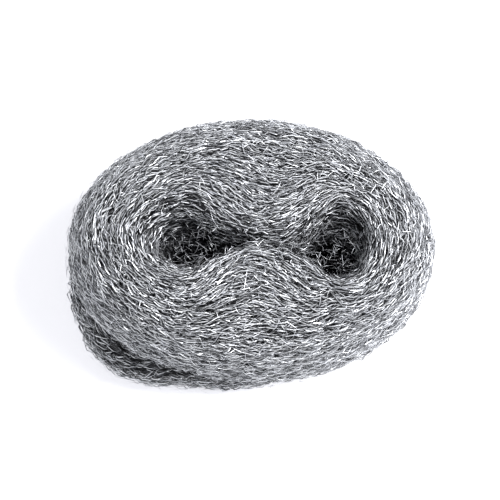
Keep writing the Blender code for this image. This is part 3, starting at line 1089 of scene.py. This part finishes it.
def body_finish():
    """Packed wool painted dark as shade: fine lines along the winding, as colour and as bump."""
    material, tree, shader = new_finish("packed_wool_depth")
    flow = add_node(tree, "ShaderNodeAttribute", {"attribute_name": "flow"}, output="Vector")
    bent = add_node(tree, "ShaderNodeMapping", None, {"Vector": flow, "Scale": LINE_BENDS})
    bends = add_node(tree, "ShaderNodeTexNoise", None, {"Vector": bent, **BEND_NOISE}, output="Fac")
    fine = add_node(tree, "ShaderNodeMapping", None, {"Vector": flow, "Scale": LINE_STRETCH})
    shift = add_node(tree, "ShaderNodeCombineXYZ", None, {"Z": bends * LINE_SHIFT})
    moved = add_node(tree, "ShaderNodeVectorMath", {"operation": "ADD"}, {0: fine, 1: shift})
    lines = add_node(tree, "ShaderNodeTexNoise", None, {"Vector": moved, **LINE_NOISE}, output="Fac")
    ridge = (1.0 - (lines - 0.5).size() * LINE_SHARPNESS).at_least(0.0)
    colour = add_node(tree, "ShaderNodeValToRGB", {"stops": BODY_STOPS}, {"Fac": ridge})
    bump = add_node(tree, "ShaderNodeBump", None, {"Height": ridge, **BODY_BUMP})
    feed(tree, shader, {"Base Color": colour, "Normal": bump, **BODY_SHADER})
    return material


body.data.materials.append(body_finish())
print(body.data.materials[0].name, "has", len(body.data.materials[0].node_tree.nodes), "nodes")

# %% [markdown]
# ## The floor
#
# The floor is plain white paper. More light would turn it white, but the steel too. Instead its own
# colour is under white, and only what the camera or a reflection sees of it is topped up, so the roll's
# soft shadow stays, a breath bluer than the paper as in the photo.

# %% Floor
FLOOR_RADIUS, FLOOR_CORNERS = 15.0, 96
FLOOR_WHITE = (0.75, 0.75, 0.75, 1.0)
FLOOR_TOP_UP = 0.72
SHADOW_TINT = (0.94, 0.94, 1.0, 1.0)


def seen_ray(tree):
    """1 on rays by which the camera, a reflection or glass sees a thing, 0 on those that light it."""
    camera_ray = add_node(tree, "ShaderNodeLightPath", output="Is Camera Ray")
    glossy_ray = add_node(tree, "ShaderNodeLightPath", output="Is Glossy Ray")
    glass_ray = add_node(tree, "ShaderNodeLightPath", output="Is Transmission Ray")
    return camera_ray.at_least(glossy_ray.at_least(glass_ray))


def floor():
    """A plain round of white paper under the roll."""
    steps = np.linspace(0.0, 2.0 * math.pi, FLOOR_CORNERS, endpoint=False)
    rim = np.stack([FLOOR_RADIUS * np.cos(steps), FLOOR_RADIUS * np.sin(steps), 0.0 * steps], axis=-1)
    mesh = bpy.data.meshes.new("floor")
    mesh.from_pydata(rim.tolist(), [], [list(range(len(rim)))])
    sheet = new_object("floor", mesh)
    material, tree, shader = new_finish("white_paper")
    tree.nodes.remove(shader)
    paper = add_node(tree, "ShaderNodeBsdfDiffuse", None, {"Color": FLOOR_WHITE})
    top_up = {"Color": SHADOW_TINT, "Strength": seen_ray(tree) * FLOOR_TOP_UP}
    glow = add_node(tree, "ShaderNodeEmission", None, top_up)
    both = add_node(tree, "ShaderNodeAddShader", None, {0: paper, 1: glow})
    feed(tree, tree.nodes["Material Output"], {"Surface": both})
    sheet.data.materials.append(material)
    return sheet


floor()
print("floor of radius", FLOOR_RADIUS, "m")

# %% [markdown]
# ## Light
#
# The photo is lit softly from the upper right, and the room fills in. One large square lamp gives the
# shadow its side. A sky picture would add colours, so the world is a plain pale grey to what it lights,
# and white to the camera and to reflections, which leaves no dark edge behind the floor.

# %% Lamp and world
KEY_PLACE, KEY_AIM = (0.60, 0.08, 0.75), (0.0, 0.0, 0.02)
KEY_WIDTH = 0.40
KEY_POWER = 10.2
WORLD_COLOUR = (0.97, 0.985, 1.0, 1.0)
WORLD_LEVEL = 0.40


def face(thing, place, aim):
    """Stands a lamp or camera at a place and turns its -Z axis to its aim."""
    thing.location = place
    thing.rotation_euler = (Vector(aim) - Vector(place)).to_track_quat("-Z", "Y").to_euler()


def square_lamp(name, width, power):
    """A square soft lamp."""
    lamp = bpy.data.lights.new(name, "AREA")
    lamp.shape = "SQUARE"
    lamp.size = width
    lamp.energy = power
    return new_object(name, lamp)


face(square_lamp("key_lamp", KEY_WIDTH, KEY_POWER), KEY_PLACE, KEY_AIM)

world = bpy.data.worlds.new("studio")
bpy.context.scene.world = world
world.use_nodes = True
world_level = seen_ray(world.node_tree) * (1.0 - WORLD_LEVEL) + WORLD_LEVEL
feed(world.node_tree, world.node_tree.nodes["Background"], {"Color": WORLD_COLOUR, "Strength": world_level})
print("lamp of", KEY_POWER, "W, world at", WORLD_LEVEL)

# %% [markdown]
# ## Camera
#
# The photo was taken from nearly above, a little in front, with a long lens: the far side is hardly
# smaller than the near one. The camera's distance follows from the size of a pixel at the roll, so that
# the model fills the frame as the roll fills the photo.

# %% Camera
LENS = 100.0
SENSOR = 36.0
METRES_PER_PIXEL = 0.000334
FRAME_PIXELS = 500
ELEVATION = 75.0
AIM = (0.0003, 0.0008, 0.024)

camera_data = bpy.data.cameras.new("camera")
camera_data.lens = LENS
camera_data.sensor_width = SENSOR
camera = new_object("camera", camera_data)
away = FRAME_PIXELS * METRES_PER_PIXEL * LENS / SENSOR
raised = math.radians(ELEVATION)
face(camera, (AIM[0], AIM[1] - away * math.cos(raised), AIM[2] + away * math.sin(raised)), AIM)
bpy.context.scene.camera = camera
bpy.context.scene.view_settings.view_transform = "Standard"
print("camera", [round(value, 4) for value in camera.location])

# %% [markdown]
# ## Tie the pieces to the part
#
# The roll is one rigid body, so every piece rides with it. The packed body stands for the CAD solid,
# which stays behind for collision.

# %% Tie the pieces to the part
for piece in [body, *pieces]:
    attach(piece, "root")
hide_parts("wool_roll")

bpy.context.view_layer.update()
